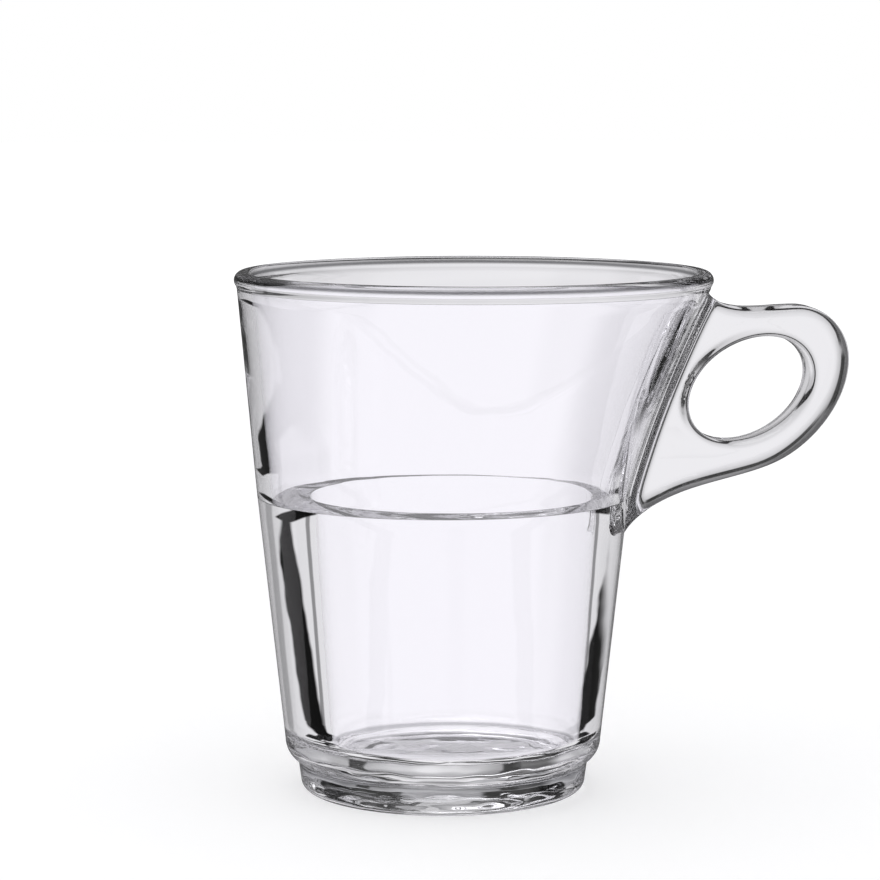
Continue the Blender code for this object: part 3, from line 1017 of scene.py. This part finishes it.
def flag_mask(sky, studio):
    """Dark flags that lean to either side of the cup."""
    right = sky.degrees(sky.turn, RIGHT_TURN)
    shifted = sky.calc("ADD", sky.aside, studio.right_shift)
    left_lean = sky.calc("MULTIPLY_ADD", sky.tilt, studio.left_slant, sky.aside)
    right_lean = sky.calc("MULTIPLY_ADD", sky.tilt, studio.right_slant, shifted)
    lean = sky.choose(right, left_lean, right_lean)
    flag = sky.span(lean, (-studio.flag_half, studio.flag_half, math.radians(FLAG_SOFT)))
    left_end = sky.degrees(sky.tilt, LEFT_FLAG_TILT)
    right_end = sky.degrees(sky.tilt, RIGHT_FLAG_TILT)
    return sky.both(flag, sky.choose(right, left_end, right_end))


def streak_view(sky, studio, turns):
    """What one wall shows of light that was turned back in it, with the dark streaks."""
    panels = panel_mask(sky)
    strip = sky.choose(sky.degrees(sky.aside, STRIP_ASIDE), *STRIP_TONES)
    strip = sky.choose(sky.degrees(sky.aside, SEAM_ASIDE), strip, SEAM_TONE)
    once = sky.choose(panels, studio.dark_tone, studio.pane_tone)
    once = sky.choose(sky.degrees(sky.tilt, STRIP_TILT), once, strip)
    once = sky.choose(flag_mask(sky, studio), once, studio.dark_tone)
    caught = sky.choose(sky.at_least(turns, 2), once, sky.choose(panels, *CAUGHT_TONES))
    long_caught = sky.choose(sky.degrees(sky.tilt, LONG_TILT), *LONG_TONES)
    return sky.choose(sky.at_least(turns, 5), caught, long_caught)


def through_view(sky):
    """What both walls show of light that goes straight through: white, but dark where it slants up."""
    slanted = sky.both(sky.degrees(sky.tilt, SLANT_TILT), sky.degrees(sky.aside, SLANT_ASIDE))
    return sky.choose(slanted, 1.0, SLANT_TONE)


def returned_view(sky, turns):
    """What both walls show of light that was turned back in them."""
    once = sky.choose(sky.degrees(sky.tilt, ONCE_TILT), *ONCE_TONES)
    once = sky.choose(sky.degrees(sky.tilt, DIM_TILT), once, DIM_TONE)
    once = sky.choose(sky.rear, once, REAR_TONE)
    often = sky.choose(sky.degrees(sky.tilt, OFTEN_TILT), *OFTEN_TONES)
    often = sky.choose(sky.at_least(turns, 9), often, MANY_TONE)
    low = sky.both(sky.degrees(sky.tilt, LOW_TILT), sky.span(sky.ahead, LOW_AHEAD))
    return sky.choose(low, sky.choose(sky.at_least(turns, 2), once, often), LOW_TONE)


def outside_view(sky, studio):
    """What the outside of the glass mirrors: a dim room, with white behind the camera."""
    level = sky.choose(sky.rear, studio.room_tone, REAR_TONE)
    return sky.choose(sky.degrees(sky.tilt, HIGH_TILT), level, HIGH_TONE)


def make_world(studio):
    """White all round for the eye; in the glass, white panels with dark gaps between them."""
    world = bpy.data.worlds.new("plain_studio")
    bpy.context.scene.world = world
    world.use_nodes = True
    sky = Sky(world.node_tree, Vector((studio.look[0], studio.look[1])).normalized())
    path = sky.tree.nodes.new("ShaderNodeLightPath")
    passes, turns = path.outputs["Transmission Depth"], path.outputs["Glossy Depth"]
    turned = sky.at_least(turns, 1)
    seen = sky.choose(turned, 1.0, outside_view(sky, studio))
    one_wall = sky.choose(turned, pane_view(sky, studio), streak_view(sky, studio, turns))
    both_walls = sky.choose(turned, through_view(sky), returned_view(sky, turns))
    seen = sky.choose(sky.at_least(passes, 1), seen, one_wall)
    seen = sky.choose(sky.at_least(passes, 3), seen, both_walls)
    strength = sky.choose(path.outputs["Is Diffuse Ray"], seen, studio.fill)
    background = sky.tree.nodes["Background"]
    fill(background, {"Color": (1.0, 1.0, 1.0, 1.0)})
    feed(sky.tree, background.inputs["Strength"], strength)


def make_camera(scene, studio):
    deselect()
    bpy.ops.object.camera_add(location=studio.eye)
    camera = named("camera")
    camera.rotation_euler = Vector(studio.look).to_track_quat("-Z", "Y").to_euler()
    camera.data.sensor_fit = "HORIZONTAL"
    camera.data.lens = studio.focal / PICTURE_SIDE * camera.data.sensor_width
    camera.data.clip_start = 0.01
    scene.camera = camera


class CUP_PT_sidebar(bpy.types.Panel):
    """Steps and sizes of the cup"""

    bl_idname = "CUP_PT_sidebar"
    bl_label = "Glass Coffee Cup"
    bl_space_type = "VIEW_3D"
    bl_region_type = "UI"
    bl_category = "Cup"

    def draw(self, context):
        for operator in OPERATORS:
            self.layout.operator(operator.bl_idname)
        for group_name in GROUPS:
            group = getattr(context.scene, group_name)
            box = self.layout.box()
            for name in group.bl_rna.properties.keys():
                if name not in ("rna_type", "name"):
                    box.prop(group, name)


GROUPS = {
    "cup_bowl": CupBowlSizes,
    "cup_handle": CupHandleSizes,
    "cup_glass": CupGlassFinish,
    "cup_studio": CupStudio,
}
OPERATORS = (CUP_OT_bowl, CUP_OT_handle, CUP_OT_fuse, CUP_OT_stage)


def register():
    for name, group in GROUPS.items():
        bpy.utils.register_class(group)
        setattr(bpy.types.Scene, name, PointerProperty(type=group))
    for tool in (*OPERATORS, CUP_PT_sidebar):
        bpy.utils.register_class(tool)


def unregister():
    for tool in (CUP_PT_sidebar, *reversed(OPERATORS)):
        bpy.utils.unregister_class(tool)
    for name, group in reversed(GROUPS.items()):
        delattr(bpy.types.Scene, name)
        bpy.utils.unregister_class(group)


def main():
    register()
    bpy.ops.cup.bowl()
    bpy.ops.cup.handle()
    bpy.ops.cup.fuse()
    bpy.ops.cup.stage()


if __name__ == "__main__":
    main()
